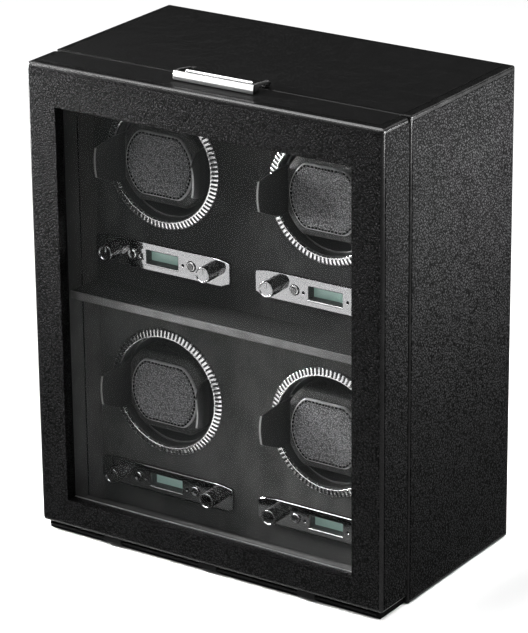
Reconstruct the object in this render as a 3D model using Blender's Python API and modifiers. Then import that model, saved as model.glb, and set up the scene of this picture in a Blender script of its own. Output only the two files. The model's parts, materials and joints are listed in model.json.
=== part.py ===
"""A four-drum watch winder cabinet, in metres, +Z up, front towards -Y.

The origin is the middle of the underside. A leather-covered door with a glass pane drops down
about a rod at its foot, and a chrome latch on the roof bridges the gap above it. Behind the door,
four drums turn in a suede fascia. Each drum holds a sprung-in watch cuff, and below each one a
polished plate carries a display, two push buttons and two knobs. A motor behind the chassis
plate turns each drum by a rubber roller that bears on the drum's wall.
"""

import math

import bmesh
import bpy
from mathutils import Matrix, Vector

# Cabinet
WIDTH = 0.299
DEPTH = 0.175
HEIGHT = 0.362
FRONT = -DEPTH / 2
CLEARANCE = 0.0003
WALL = 0.0185
FLOOR = 0.008
ROOF = 0.010
CASE_EDGE = 0.0015
SILL_HEIGHT = 0.006
SILL_INSET = 0.0045

# Door: depths are measured back from its front face
DOOR_DEPTH = 0.034
DOOR_GAP = 0.0015
DOOR_BOTTOM = 0.0065
DOOR_EDGE = 0.003
WINDOW_SIDE = 0.0255
WINDOW_TOP = 0.0305
WINDOW_BOTTOM = 0.0285
LIP_DEPTH = 0.009
REBATE_BOTTOM = 0.018
REBATE_TOP = 0.344
GLASS_THICKNESS = 0.003

# Door hinge
HINGE_DEPTH = 0.0035
HINGE_HEIGHT = 0.0045
HINGE_ROD_RADIUS = 0.0012
HINGE_BORE_RADIUS = 0.0016
HINGE_LUG_RADIUS = 0.0023
HINGE_LUG_WIDTH = 0.015
HINGE_LUG_PLACES = (-0.085, 0.0, 0.085)

# Fascia, shelf, chassis and back: depths from the door's front face
CASE_FRONT = DOOR_DEPTH + DOOR_GAP
PANEL_THICKNESS = 0.003
FASCIA_DEPTH = 0.054
SHELF_DEPTH = 0.0195
SHELF_LOW = 0.180
SHELF_HIGH = 0.186
CHASSIS_DEPTH = 0.112

# Drums
DRUM_X = 0.0703
DRUM_HEIGHTS = {"upper": 0.284, "lower": 0.108}
CUP_RADIUS = 0.0463
CUP_BORE = 0.0423
CUP_LEDGE_BORE = 0.041
CUP_LEDGE_DEPTH = 0.062
CUP_MOUTH = FASCIA_DEPTH - 0.0001
CUP_FLOOR = 0.100
CUP_BACK = 0.104
SPINDLE_RADIUS = 0.005
SPINDLE_END = 0.118
FASCIA_HOLE = 0.0468
RING_RADIUS = 0.049
RING_BORE = 0.043
RING_RIM_HEIGHT = 0.0022
RING_LIP_HEIGHT = 0.0014
DRUM_STEPS = 40

# Drive
ROLLER_RADIUS = 0.007
ROLLER_SPAN = (0.090, 0.102)
SHAFT_RADIUS = 0.0015
MOTOR_RADIUS = 0.012
MOTOR_END = 0.145
ROLLER_OFFSET = (CUP_RADIUS + ROLLER_RADIUS + CLEARANCE) * math.sqrt(0.5)

# Cuff: depths from the door's front face
CUFF_RADIUS = 0.0385
CUFF_HALF_WIDTH = 0.0352
CUFF_HALF_HEIGHT = 0.032
CUFF_FRONT = 0.052
CUFF_BACK = 0.080
WING_THICKNESS = 0.0016
WING_TIP = {"depth": 0.0305, "outer": 0.0440, "half": 0.011}
WING_NECK = {"depth": 0.045, "outer": 0.0386, "half": 0.0172}
WING_ROOT = {"depth": 0.056, "outer": 0.0365, "half": 0.0175}
WING_END = {"depth": 0.096, "outer": 0.0365, "half": 0.0175}
PAD_RADIUS = 0.02935
PAD_HALF_HEIGHT = 0.02375
PAD_FRONT = 0.0495

# Control plate: its middle is this far below the drum's axis
PLATE_DROP = 0.072
PLATE_FRONT = 0.0505
PLATE_BACK = FASCIA_DEPTH - CLEARANCE
PLATE_HALF_LENGTH = 0.059
PLATE_HALF_HEIGHT = 0.0104
PLATE_TAPER_START = 0.042
PLATE_TAPER_RADIUS = 0.071
PLATE_END_HIGH = 0.0078
PLATE_END_LOW = -0.0072
PLATE_CHAMFER = (0.0520, -0.0103)
DISPLAY_HALF = (0.01425, 0.0051)
DISPLAY_MODULE_HALF = (0.0165, 0.0072)
DISPLAY_MODULE_THICKNESS = 0.0025
BUTTON_X = 0.0259
BUTTON_RADIUS = 0.0035
BUTTON_SPAN = (0.0493, 0.0526)
KNOB_X = 0.043
KNOB_RADIUS = 0.006
KNOB_SPAN = (0.0395, 0.0500)
KNOB_SHAFT_RADIUS = 0.002
KNOB_SHAFT_END = 0.0532
HOLE_MARGIN = 0.0004

# Latch on the roof: depths from the door's front face
LATCH_HALF_WIDTH = 0.0335
LATCH_FRONT = 0.0175
LATCH_BAR_THICKNESS = 0.0028
LATCH_LOW = HEIGHT + 0.0013
LATCH_HIGH = HEIGHT + 0.007
CHEEK_THICKNESS = 0.002
LATCH_PIVOT_DEPTH = 0.038
LATCH_PIVOT_HEIGHT = HEIGHT + 0.0025
LATCH_EYE_RADIUS = 0.0021
LATCH_PIN_RADIUS = 0.0011
LATCH_BORE_RADIUS = 0.0014
LATCH_ROLLER_DEPTH = 0.024
LATCH_ROLLER_HEIGHT = HEIGHT + 0.0048
LATCH_ROLLER_RADIUS = 0.0021

# Power inlet on the back
INLET_X = 0.100
INLET_HEIGHT = 0.030
INLET_RADIUS = 0.0055
INLET_BORE = 0.00275
INLET_PIN = 0.001


def clear_scene():
    for obj in list(bpy.data.objects):
        bpy.data.objects.remove(obj, do_unlink=True)


def new_collection(name):
    collection = bpy.data.collections.new(name)
    bpy.context.scene.collection.children.link(collection)
    return collection


def make_material(name, colour, roughness, metallic, alpha=1.0):
    material = bpy.data.materials.new(name)
    material.use_nodes = True
    shader = material.node_tree.nodes["Principled BSDF"]
    shader.inputs["Base Color"].default_value = (*colour, 1.0)
    shader.inputs["Roughness"].default_value = roughness
    shader.inputs["Metallic"].default_value = metallic
    shader.inputs["Alpha"].default_value = alpha
    return material


clear_scene()
CABINET = new_collection("watch_winder_box")
CUTTERS = new_collection("cutters")
LEATHER = make_material("black_leather", (0.030, 0.030, 0.031), 0.55, 0.0)
SUEDE = make_material("grey_suede", (0.045, 0.045, 0.046), 0.95, 0.0)
PAD_LEATHER = make_material("pad_leather", (0.085, 0.085, 0.087), 0.60, 0.0)
CHROME = make_material("polished_chrome", (0.80, 0.80, 0.80), 0.06, 1.0)
STEEL = make_material("steel", (0.45, 0.45, 0.46), 0.35, 1.0)
GLASS = make_material("clear_glass", (0.95, 0.97, 0.96), 0.02, 0.0, 0.2)
BLACK_PLASTIC = make_material("black_plastic", (0.015, 0.015, 0.015), 0.40, 0.0)
DISPLAY_GREEN = make_material("display_green", (0.13, 0.35, 0.29), 0.30, 0.0)
RUBBER = make_material("rubber", (0.02, 0.02, 0.02), 0.85, 0.0)


def place(obj, parent, location):
    """Puts an object at a world location, under a parent that only moves its children."""
    obj.parent = parent
    offset = parent.matrix_basis.translation if parent else Vector()
    obj.location = Vector(location) - offset


def add_object(name, data, location, material=None, parent=None):
    """A named piece of the cabinet, or a hidden cutter where no material is given."""
    obj = bpy.data.objects.new(name, data)
    if material:
        data.materials.append(material)
        CABINET.objects.link(obj)
    else:
        obj.hide_render = True
        obj.display_type = "WIRE"
        CUTTERS.objects.link(obj)
    place(obj, parent, location)
    return obj


def axis_empty(name, location):
    empty = bpy.data.objects.new(name, None)
    empty.location = location
    CABINET.objects.link(empty)
    return empty


def block(name, low, high, material=None, parent=None):
    """A box between two world corners."""
    low, high = Vector(low), Vector(high)
    mesh = bpy.data.meshes.new(name)
    shape = bmesh.new()
    bmesh.ops.create_cube(shape, size=1.0, matrix=Matrix.Diagonal((*(high - low), 1.0)))
    shape.to_mesh(mesh)
    shape.free()
    return add_object(name, mesh, (low + high) / 2, material, parent)


def rod(name, radius, start, end, steps, material=None, parent=None):
    """A plain cylinder from start to end."""
    start, end = Vector(start), Vector(end)
    mesh = bpy.data.meshes.new(name)
    shape = bmesh.new()
    turn = (end - start).to_track_quat("Z", "Y").to_matrix().to_4x4()
    bmesh.ops.create_cone(
        shape,
        cap_ends=True,
        segments=steps,
        radius1=radius,
        radius2=radius,
        depth=(end - start).length,
        matrix=turn,
    )
    shape.to_mesh(mesh)
    shape.free()
    if material:
        smooth_rounds(mesh)
    return add_object(name, mesh, (start + end) / 2, material, parent)


def smooth_rounds(mesh):
    mesh.shade_smooth()
    mesh.set_sharp_from_angle(angle=math.radians(30))


def turned(name, profile, steps, x, height, material, parent, closed=False):
    """A solid turned about a front-to-back axis. The profile holds (radius, depth behind the front
    face), and lists its outer side from front to back."""
    mesh = bpy.data.meshes.new(name)
    shape = bmesh.new()
    points = [shape.verts.new((radius, 0.0, -depth)) for radius, depth in profile]
    ends = points[1:] + points[:1] if closed else points[1:]
    for start, end in zip(points, ends):
        shape.edges.new((start, end))
    shape.to_mesh(mesh)
    shape.free()
    obj = add_object(name, mesh, (x, FRONT, height), material, parent)
    obj.rotation_euler = (math.pi / 2, 0.0, 0.0)
    screw = obj.modifiers.new("turn", "SCREW")
    screw.axis = "Z"
    screw.angle = 2 * math.pi
    screw.steps = steps
    screw.render_steps = steps
    screw.use_merge_vertices = True
    screw.merge_threshold = 0.00001
    return obj


def arc(centre, radius, start, end, steps):
    """Points along an arc, with both of its ends. Angles are in degrees."""
    angles = [math.radians(start + (end - start) * step / steps) for step in range(steps + 1)]
    return [(centre[0] + radius * math.cos(a), centre[1] + radius * math.sin(a)) for a in angles]


def flat_outline(name, outlines, thickness):
    """A mesh of a flat outline with holes, drawn in local X and Y, with its middle at local Z zero."""
    curve = bpy.data.curves.new(name, "CURVE")
    curve.dimensions = "2D"
    curve.fill_mode = "BOTH"
    curve.extrude = thickness / 2
    for outline in outlines:
        spline = curve.splines.new("POLY")
        spline.points.add(len(outline) - 1)
        for point, (x, y) in zip(spline.points, outline):
            point.co = (x, y, 0.0, 1.0)
        spline.use_cyclic_u = True
    guide = bpy.data.objects.new(name, curve)
    CUTTERS.objects.link(guide)
    bpy.context.view_layer.update()
    evaluated = guide.evaluated_get(bpy.context.evaluated_depsgraph_get())
    mesh = bpy.data.meshes.new_from_object(evaluated)
    bpy.data.objects.remove(guide, do_unlink=True)
    shape = bmesh.new()
    shape.from_mesh(mesh)
    bmesh.ops.remove_doubles(shape, verts=shape.verts, dist=0.000001)
    shape.to_mesh(mesh)
    shape.free()
    mesh.name = name
    return mesh


def front_plate(name, outlines, span, x, height, material=None, parent=None):
    """A flat plate seen from the front as its outlines, between two depths."""
    mesh = flat_outline(name, outlines, span[1] - span[0])
    obj = add_object(name, mesh, (x, FRONT + sum(span) / 2, height), material, parent)
    obj.rotation_euler = (math.pi / 2, 0.0, 0.0)
    return obj


def hull(name, points, location, material=None, parent=None):
    """The convex solid around a list of points."""
    mesh = bpy.data.meshes.new(name)
    shape = bmesh.new()
    for point in points:
        shape.verts.new(point)
    bmesh.ops.convex_hull(shape, input=shape.verts)
    bmesh.ops.recalc_face_normals(shape, faces=shape.faces)
    shape.to_mesh(mesh)
    shape.free()
    return add_object(name, mesh, location, material, parent)


def boolean(obj, other, operation):
    modifier = obj.modifiers.new(other.name, "BOOLEAN")
    modifier.operation = operation
    modifier.object = other


def cut(obj, other):
    boolean(obj, other, "DIFFERENCE")


def join(obj, other):
    boolean(obj, other, "UNION")


def round_edges(obj, width, segments):
    bevel = obj.modifiers.new("rounded_edges", "BEVEL")
    bevel.width = width
    bevel.segments = segments
    bevel.limit_method = "ANGLE"


def build_case():
    """The case with its sill, the suede fascia, the shelf, the chassis plate, the back and the inlet."""
    half = WIDTH / 2
    inside = half - WALL
    case = block("case_shell", (-half, FRONT + CASE_FRONT, 0), (half, -FRONT, HEIGHT), LEATHER)
    round_edges(case, CASE_EDGE, 2)
    cavity = block(
        "case_cavity", (-inside, FRONT, FLOOR), (inside, -FRONT + 0.01, HEIGHT - ROOF)
    )
    cut(case, cavity)
    sill = block(
        "sill",
        (-half + SILL_INSET, FRONT + HINGE_DEPTH + HINGE_ROD_RADIUS + CLEARANCE, 0),
        (half - SILL_INSET, FRONT + CASE_FRONT + 0.002, SILL_HEIGHT),
    )
    join(case, sill)
    for number, x in enumerate(HINGE_LUG_PLACES):
        reach = HINGE_LUG_WIDTH / 2 + 0.001
        notch = block(
            f"sill_notch_{number}",
            (x - reach, FRONT, -0.001),
            (x + reach, FRONT + HINGE_DEPTH + 2 * HINGE_LUG_RADIUS, SILL_HEIGHT + 0.001),
        )
        cut(case, notch)

    panel = inside - CLEARANCE
    low, high = FLOOR + CLEARANCE, HEIGHT - ROOF - CLEARANCE
    fascia = block(
        "fascia_panel",
        (-panel, FRONT + FASCIA_DEPTH, low),
        (panel, FRONT + FASCIA_DEPTH + PANEL_THICKNESS, high),
        SUEDE,
    )
    chassis = block(
        "chassis_plate",
        (-panel, FRONT + CHASSIS_DEPTH, low),
        (panel, FRONT + CHASSIS_DEPTH + PANEL_THICKNESS, high),
        STEEL,
    )
    block(
        "divider_shelf",
        (-panel, FRONT + SHELF_DEPTH, SHELF_LOW),
        (panel, FRONT + FASCIA_DEPTH - CLEARANCE, SHELF_HIGH),
        SUEDE,
    )
    back = block(
        "back_cover", (-panel, -FRONT - PANEL_THICKNESS, low), (panel, -FRONT, high), BLACK_PLASTIC
    )
    inlet_hole = rod(
        "inlet_hole",
        INLET_RADIUS + CLEARANCE,
        (INLET_X, -FRONT - 0.01, INLET_HEIGHT),
        (INLET_X, -FRONT + 0.01, INLET_HEIGHT),
        20,
    )
    cut(back, inlet_hole)
    inlet_profile = [
        (0.0, DEPTH - 0.018),
        (INLET_RADIUS, DEPTH - 0.018),
        (INLET_RADIUS, DEPTH - CLEARANCE),
        (INLET_BORE, DEPTH - CLEARANCE),
        (INLET_BORE, DEPTH - 0.010),
        (INLET_PIN, DEPTH - 0.010),
        (INLET_PIN, DEPTH - 0.002),
        (0.0, DEPTH - 0.002),
    ]
    turned("power_inlet", inlet_profile, 20, INLET_X, INLET_HEIGHT, BLACK_PLASTIC, None)
    return fascia, chassis


def build_door(axis):
    """The leather frame with its glass, hinge lugs and the rod that they turn on."""
    half = WIDTH / 2
    frame = block(
        "door_frame",
        (-half, FRONT, DOOR_BOTTOM),
        (half, FRONT + DOOR_DEPTH, HEIGHT),
        LEATHER,
        axis,
    )
    round_edges(frame, DOOR_EDGE, 3)
    window = half - WINDOW_SIDE
    cut(
        frame,
        block(
            "window",
            (-window, FRONT - 0.01, WINDOW_BOTTOM),
            (window, FRONT + DOOR_DEPTH, HEIGHT - WINDOW_TOP),
        ),
    )
    rebate = half - WALL
    cut(
        frame,
        block(
            "rebate",
            (-rebate, FRONT + LIP_DEPTH, REBATE_BOTTOM),
            (rebate, FRONT + DOOR_DEPTH + 0.01, REBATE_TOP),
        ),
    )
    for number, x in enumerate(HINGE_LUG_PLACES):
        reach = HINGE_LUG_WIDTH / 2
        lug = block(
            f"hinge_lug_{number}",
            (x - reach, FRONT + HINGE_DEPTH - HINGE_LUG_RADIUS, HINGE_HEIGHT - HINGE_LUG_RADIUS),
            (x + reach, FRONT + HINGE_DEPTH + HINGE_LUG_RADIUS, DOOR_BOTTOM + 0.003),
        )
        join(frame, lug)
        bore = rod(
            f"hinge_bore_{number}",
            HINGE_BORE_RADIUS,
            (x - reach - 0.001, FRONT + HINGE_DEPTH, HINGE_HEIGHT),
            (x + reach + 0.001, FRONT + HINGE_DEPTH, HINGE_HEIGHT),
            16,
        )
        cut(frame, bore)
    block(
        "glass_pane",
        (-rebate + CLEARANCE, FRONT + LIP_DEPTH + CLEARANCE, REBATE_BOTTOM + CLEARANCE),
        (
            rebate - CLEARANCE,
            FRONT + LIP_DEPTH + CLEARANCE + GLASS_THICKNESS,
            REBATE_TOP - CLEARANCE,
        ),
        GLASS,
        axis,
    )
    rod_reach = half - SILL_INSET - 0.002
    rod(
        "hinge_rod",
        HINGE_ROD_RADIUS,
        (-rod_reach, FRONT + HINGE_DEPTH, HINGE_HEIGHT),
        (rod_reach, FRONT + HINGE_DEPTH, HINGE_HEIGHT),
        12,
        STEEL,
    )


def cheek_outline():
    """The latch's side plate in (depth, height), with an arched underside and an eye at the pivot."""
    eye = arc((LATCH_PIVOT_DEPTH, LATCH_PIVOT_HEIGHT), LATCH_EYE_RADIUS, 80, -120, 8)
    return [
        (LATCH_FRONT, LATCH_LOW),
        (LATCH_FRONT, LATCH_HIGH),
        (LATCH_FRONT + 0.006, LATCH_HIGH),
        *eye,
        (LATCH_PIVOT_DEPTH - 0.004, HEIGHT + 0.0034),
        (LATCH_FRONT + 0.0095, HEIGHT + 0.0034),
        (LATCH_FRONT + 0.007, LATCH_LOW),
    ]


def build_latch(axis):
    lever = block(
        "latch_lever",
        (-LATCH_HALF_WIDTH, FRONT + LATCH_FRONT, LATCH_LOW),
        (LATCH_HALF_WIDTH, FRONT + LATCH_FRONT + LATCH_BAR_THICKNESS, LATCH_HIGH),
        CHROME,
        axis,
    )
    pivot = Vector((0.0, FRONT + LATCH_PIVOT_DEPTH, LATCH_PIVOT_HEIGHT))
    for name, side in (("left", -1), ("right", 1)):
        mesh = flat_outline(f"cheek_{name}", [cheek_outline()], CHEEK_THICKNESS)
        x = side * (LATCH_HALF_WIDTH - CHEEK_THICKNESS / 2)
        cheek = add_object(f"cheek_{name}", mesh, (x, FRONT, 0.0))
        cheek.matrix_basis = Matrix.Translation((x, FRONT, 0.0)) @ Matrix(
            ((0, 0, 1, 0), (1, 0, 0, 0), (0, 1, 0, 0), (0, 0, 0, 1))
        )
        join(lever, cheek)
    roller_middle = Vector((0.0, FRONT + LATCH_ROLLER_DEPTH, LATCH_ROLLER_HEIGHT))
    reach = Vector((LATCH_HALF_WIDTH - CHEEK_THICKNESS / 2, 0.0, 0.0))
    roller = rod(
        "latch_roller", LATCH_ROLLER_RADIUS, roller_middle - reach, roller_middle + reach, 12
    )
    join(lever, roller)
    past = Vector((LATCH_HALF_WIDTH + 0.001, 0.0, 0.0))
    bore = rod("latch_bore", LATCH_BORE_RADIUS, pivot - past, pivot + past, 16)
    cut(lever, bore)

    lug_outer = LATCH_HALF_WIDTH - CHEEK_THICKNESS - CLEARANCE
    base = block(
        "latch_base",
        (-lug_outer, pivot.y - 0.0025, HEIGHT + CLEARANCE),
        (lug_outer, pivot.y + 0.0025, HEIGHT + CLEARANCE + 0.0008),
        BLACK_PLASTIC,
    )
    for name, side in (("left", -1), ("right", 1)):
        ends = sorted((side * lug_outer, side * (lug_outer - CHEEK_THICKNESS)))
        lug = block(
            f"latch_lug_{name}",
            (ends[0], pivot.y - LATCH_EYE_RADIUS, HEIGHT + CLEARANCE),
            (ends[1], pivot.y + LATCH_EYE_RADIUS, pivot.z + LATCH_EYE_RADIUS),
        )
        join(base, lug)
    cut(base, bore)
    ends = Vector((LATCH_HALF_WIDTH - CLEARANCE, 0.0, 0.0))
    rod("latch_pin", LATCH_PIN_RADIUS, pivot - ends, pivot + ends, 12, STEEL)


def truncated_circle(radius, half_height, half_width, steps):
    """A circle cut off flat above and below, and at the sides where it is wider than half_width."""
    high = math.degrees(math.asin(half_height / radius))
    low = math.degrees(math.acos(min(1.0, half_width / radius)))
    if low == 0.0:
        return arc((0, 0), radius, -high, high, steps) + arc(
            (0, 0), radius, 180 - high, 180 + high, steps
        )
    corners = [(low, high), (180 - high, 180 - low), (180 + low, 180 + high), (-high, -low)]
    return [point for start, end in corners for point in arc((0, 0), radius, start, end, steps)]


def wing_section(edge, side):
    """The four corners of a cuff wing at one depth, in local coordinates about the drum's axis."""
    outer, inner = edge["outer"], edge["outer"] - WING_THICKNESS
    half = edge["half"]
    return [(side * x, edge["depth"], z) for x in (inner, outer) for z in (-half, half)]


def build_cuff(place_name, x, height, axis):
    """The watch cuff: a padded core between two wings that flare forward, and its leather pad."""
    core = front_plate(
        f"cuff_core_{place_name}",
        [truncated_circle(CUFF_RADIUS, CUFF_HALF_HEIGHT, CUFF_HALF_WIDTH, 3)],
        (CUFF_FRONT, CUFF_BACK),
        x,
        height,
        BLACK_PLASTIC,
        axis,
    )
    stretches = {"flare": (WING_TIP, WING_NECK, WING_ROOT), "arm": (WING_ROOT, WING_END)}
    for side_name, side in (("left", -1), ("right", 1)):
        for part, edges in stretches.items():
            points = [point for edge in edges for point in wing_section(edge, side)]
            wing = hull(f"{part}_{side_name}_{place_name}", points, (x, FRONT, height))
            join(core, wing)
    front_plate(
        f"cuff_pad_{place_name}",
        [truncated_circle(PAD_RADIUS, PAD_HALF_HEIGHT, PAD_RADIUS, 6)],
        (PAD_FRONT, CUFF_FRONT - CLEARANCE),
        x,
        height,
        PAD_LEATHER,
        axis,
    )


def build_drum(place_name, x, height, axis):
    cup_profile = [
        (0.0, CUP_FLOOR),
        (CUP_LEDGE_BORE, CUP_FLOOR),
        (CUP_LEDGE_BORE, CUP_LEDGE_DEPTH),
        (CUP_BORE, CUP_LEDGE_DEPTH),
        (CUP_BORE, CUP_MOUTH),
        (CUP_RADIUS, CUP_MOUTH),
        (CUP_RADIUS, CUP_BACK),
        (SPINDLE_RADIUS, CUP_BACK),
        (SPINDLE_RADIUS, SPINDLE_END),
        (0.0, SPINDLE_END),
    ]
    turned(
        f"drum_cup_{place_name}", cup_profile, DRUM_STEPS, x, height, BLACK_PLASTIC, axis
    )
    ring_back = CUP_MOUTH - CLEARANCE
    ring_profile = [
        (RING_RADIUS, ring_back - RING_RIM_HEIGHT),
        (RING_RADIUS, ring_back),
        (RING_BORE, ring_back),
        (RING_BORE, ring_back - RING_LIP_HEIGHT),
    ]
    turned(
        f"drum_ring_{place_name}", ring_profile, DRUM_STEPS, x, height, CHROME, axis, closed=True
    )


def build_drive(place_name, x, height, inward, towards_middle, chassis):
    """The motor behind the chassis plate and its rubber roller, which bears on the drum's wall."""
    x += inward * ROLLER_OFFSET
    height += towards_middle * ROLLER_OFFSET
    motor_front = CHASSIS_DEPTH + PANEL_THICKNESS + CLEARANCE
    shaft_hole = rod(
        f"shaft_hole_{place_name}",
        SHAFT_RADIUS + HOLE_MARGIN,
        (x, FRONT + CHASSIS_DEPTH - 0.002, height),
        (x, FRONT + motor_front + 0.002, height),
        12,
    )
    cut(chassis, shaft_hole)
    roller_profile = [
        (0.0, ROLLER_SPAN[0]),
        (ROLLER_RADIUS, ROLLER_SPAN[0]),
        (ROLLER_RADIUS, ROLLER_SPAN[1]),
        (SHAFT_RADIUS, ROLLER_SPAN[1]),
        (SHAFT_RADIUS, motor_front - CLEARANCE),
        (0.0, motor_front - CLEARANCE),
    ]
    turned(f"drive_roller_{place_name}", roller_profile, 20, x, height, RUBBER, None)
    motor_profile = [
        (0.0, motor_front),
        (MOTOR_RADIUS, motor_front),
        (MOTOR_RADIUS, MOTOR_END),
        (0.004, MOTOR_END),
        (0.004, MOTOR_END + 0.003),
        (0.0, MOTOR_END + 0.003),
    ]
    turned(f"gear_motor_{place_name}", motor_profile, 20, x, height, STEEL, None)


def plate_outline():
    """The control plate: a straight middle whose ends taper, with its lower corners cut back."""
    sweep = math.degrees(math.asin((PLATE_HALF_LENGTH - PLATE_TAPER_START) / PLATE_TAPER_RADIUS))
    taper = arc(
        (PLATE_TAPER_START, PLATE_HALF_HEIGHT - PLATE_TAPER_RADIUS),
        PLATE_TAPER_RADIUS,
        90,
        90 - 0.92 * sweep,
        3,
    )
    right = [
        *taper,
        (PLATE_HALF_LENGTH, PLATE_END_HIGH),
        (PLATE_HALF_LENGTH, PLATE_END_LOW),
        PLATE_CHAMFER,
    ]
    return right + [(-x, y) for x, y in reversed(right)]


def rectangle(half_width, half_height):
    return [
        (-half_width, -half_height),
        (half_width, -half_height),
        (half_width, half_height),
        (-half_width, half_height),
    ]


def build_controls(place_name, x, height, fascia):
    """The polished plate under a drum, with its display, two push buttons and two knobs."""
    holes = [rectangle(*DISPLAY_HALF)]
    for side in (-1, 1):
        holes.append(arc((side * BUTTON_X, 0), BUTTON_RADIUS + HOLE_MARGIN, 0, 330, 11))
        holes.append(arc((side * KNOB_X, 0), KNOB_SHAFT_RADIUS + HOLE_MARGIN, 0, 315, 7))
    front_plate(
        f"control_plate_{place_name}",
        [plate_outline(), *holes],
        (PLATE_FRONT, PLATE_BACK),
        x,
        height,
        CHROME,
    )
    cut(
        fascia,
        block(
            f"display_hole_{place_name}",
            (x - DISPLAY_HALF[0], FRONT + FASCIA_DEPTH - 0.001, height - DISPLAY_HALF[1]),
            (
                x + DISPLAY_HALF[0],
                FRONT + FASCIA_DEPTH + PANEL_THICKNESS + 0.001,
                height + DISPLAY_HALF[1],
            ),
        ),
    )
    half_width, half_height = DISPLAY_MODULE_HALF
    module_front = FRONT + FASCIA_DEPTH + PANEL_THICKNESS + CLEARANCE
    block(
        f"display_{place_name}",
        (x - half_width, module_front, height - half_height),
        (x + half_width, module_front + DISPLAY_MODULE_THICKNESS, height + half_height),
        DISPLAY_GREEN,
    )
    button_profile = [
        (0.0, BUTTON_SPAN[0]),
        (BUTTON_RADIUS, BUTTON_SPAN[0]),
        (BUTTON_RADIUS, BUTTON_SPAN[1]),
        (0.0, BUTTON_SPAN[1]),
    ]
    for name, side in (("mode_button", -1), ("light_button", 1)):
        button_x = x + side * BUTTON_X
        turned(f"{name}_{place_name}", button_profile, 14, button_x, height, CHROME, None)
    knob_profile = [
        (0.0, KNOB_SPAN[0]),
        (KNOB_RADIUS, KNOB_SPAN[0]),
        (KNOB_RADIUS, KNOB_SPAN[1]),
        (KNOB_SHAFT_RADIUS, KNOB_SPAN[1]),
        (KNOB_SHAFT_RADIUS, KNOB_SHAFT_END),
        (0.0, KNOB_SHAFT_END),
    ]
    for name, side in (("turns_knob", -1), ("direction_knob", 1)):
        knob_x = x + side * KNOB_X
        turned(f"{name}_{place_name}", knob_profile, 16, knob_x, height, CHROME, None)


def build_stations(fascia, chassis):
    """A drum with its cuff, its drive and its controls, at each of the four places."""
    for row, height in DRUM_HEIGHTS.items():
        towards_middle = -1 if row == "upper" else 1
        for column, side in (("left", -1), ("right", 1)):
            place_name = f"{row}_{column}"
            x = side * DRUM_X
            axis = axis_empty(f"drum_axis_{place_name}", (x, FRONT + CUP_MOUTH, height))
            through = (FRONT + FASCIA_DEPTH - 0.002, FRONT + FASCIA_DEPTH + 0.005)
            drum_hole = rod(
                f"drum_hole_{place_name}",
                FASCIA_HOLE,
                (x, through[0], height),
                (x, through[1], height),
                DRUM_STEPS,
            )
            cut(fascia, drum_hole)
            spindle_hole = rod(
                f"spindle_hole_{place_name}",
                SPINDLE_RADIUS + HOLE_MARGIN,
                (x, FRONT + CHASSIS_DEPTH - 0.002, height),
                (x, FRONT + CHASSIS_DEPTH + 0.005, height),
                20,
            )
            cut(chassis, spindle_hole)
            build_drum(place_name, x, height, axis)
            build_cuff(place_name, x, height, axis)
            build_drive(place_name, x, height, -side, towards_middle, chassis)
            build_controls(place_name, x, height - PLATE_DROP, fascia)


def main():
    fascia_panel, chassis_plate = build_case()
    build_door(axis_empty("door_axis", (0.0, FRONT + HINGE_DEPTH, HINGE_HEIGHT)))
    build_latch(axis_empty("latch_axis", (0.0, FRONT + LATCH_PIVOT_DEPTH, LATCH_PIVOT_HEIGHT)))
    build_stations(fascia_panel, chassis_plate)


main()
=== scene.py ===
"""The looks of a four-drum watch winder cabinet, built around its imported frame, in metres.

The cabinet is fibreboard wrapped in black leather: smooth leather rolls over its edges and pebbled
sheets cover its faces. Behind the glass, four ribbed chrome rings frame the drums in a suede
fascia. Each drum holds a padded cuff between two flared wings, and a mirror-polished plate under
it carries a display, two buttons and two knobs. Depths run back from the door's front face.
"""

import json
import math

import bmesh
import bpy
from mathutils import Matrix, Vector

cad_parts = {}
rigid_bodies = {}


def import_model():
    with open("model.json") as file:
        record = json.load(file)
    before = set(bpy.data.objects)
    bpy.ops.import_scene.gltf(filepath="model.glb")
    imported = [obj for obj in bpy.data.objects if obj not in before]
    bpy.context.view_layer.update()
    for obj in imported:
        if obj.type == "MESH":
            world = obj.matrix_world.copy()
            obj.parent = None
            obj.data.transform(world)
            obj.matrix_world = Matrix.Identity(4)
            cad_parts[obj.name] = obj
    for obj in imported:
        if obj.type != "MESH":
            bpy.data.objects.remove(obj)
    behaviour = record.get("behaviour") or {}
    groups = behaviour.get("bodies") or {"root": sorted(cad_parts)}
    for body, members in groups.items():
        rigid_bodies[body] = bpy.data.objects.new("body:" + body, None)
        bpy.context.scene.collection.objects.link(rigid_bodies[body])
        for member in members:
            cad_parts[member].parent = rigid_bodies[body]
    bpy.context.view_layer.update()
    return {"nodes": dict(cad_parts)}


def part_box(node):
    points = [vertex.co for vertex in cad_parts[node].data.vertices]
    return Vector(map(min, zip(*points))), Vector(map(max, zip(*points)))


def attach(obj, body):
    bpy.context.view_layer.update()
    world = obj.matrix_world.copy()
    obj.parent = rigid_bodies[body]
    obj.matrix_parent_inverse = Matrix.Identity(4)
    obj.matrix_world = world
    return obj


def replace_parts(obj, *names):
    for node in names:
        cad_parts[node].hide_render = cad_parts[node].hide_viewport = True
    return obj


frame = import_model()

MM = 0.001
STATIONS = ("upper_left", "upper_right", "lower_left", "lower_right")
DOOR_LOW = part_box("door_frame")[0]
CASE_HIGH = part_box("case_shell")[1]
GLASS_LOW, GLASS_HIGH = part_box("glass_pane")
FASCIA_LOW, FASCIA_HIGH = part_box("fascia_panel")
SHELF_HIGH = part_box("divider_shelf")[1]
FRONT = DOOR_LOW.y
DOOR_DEPTH = 35.5 * MM
CASE_FRONT = FRONT + DOOR_DEPTH
BACK = CASE_HIGH.y
ROOF = CASE_HIGH.z
HALF_WIDTH = CASE_HIGH.x
GAP = 0.3 * MM

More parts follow.
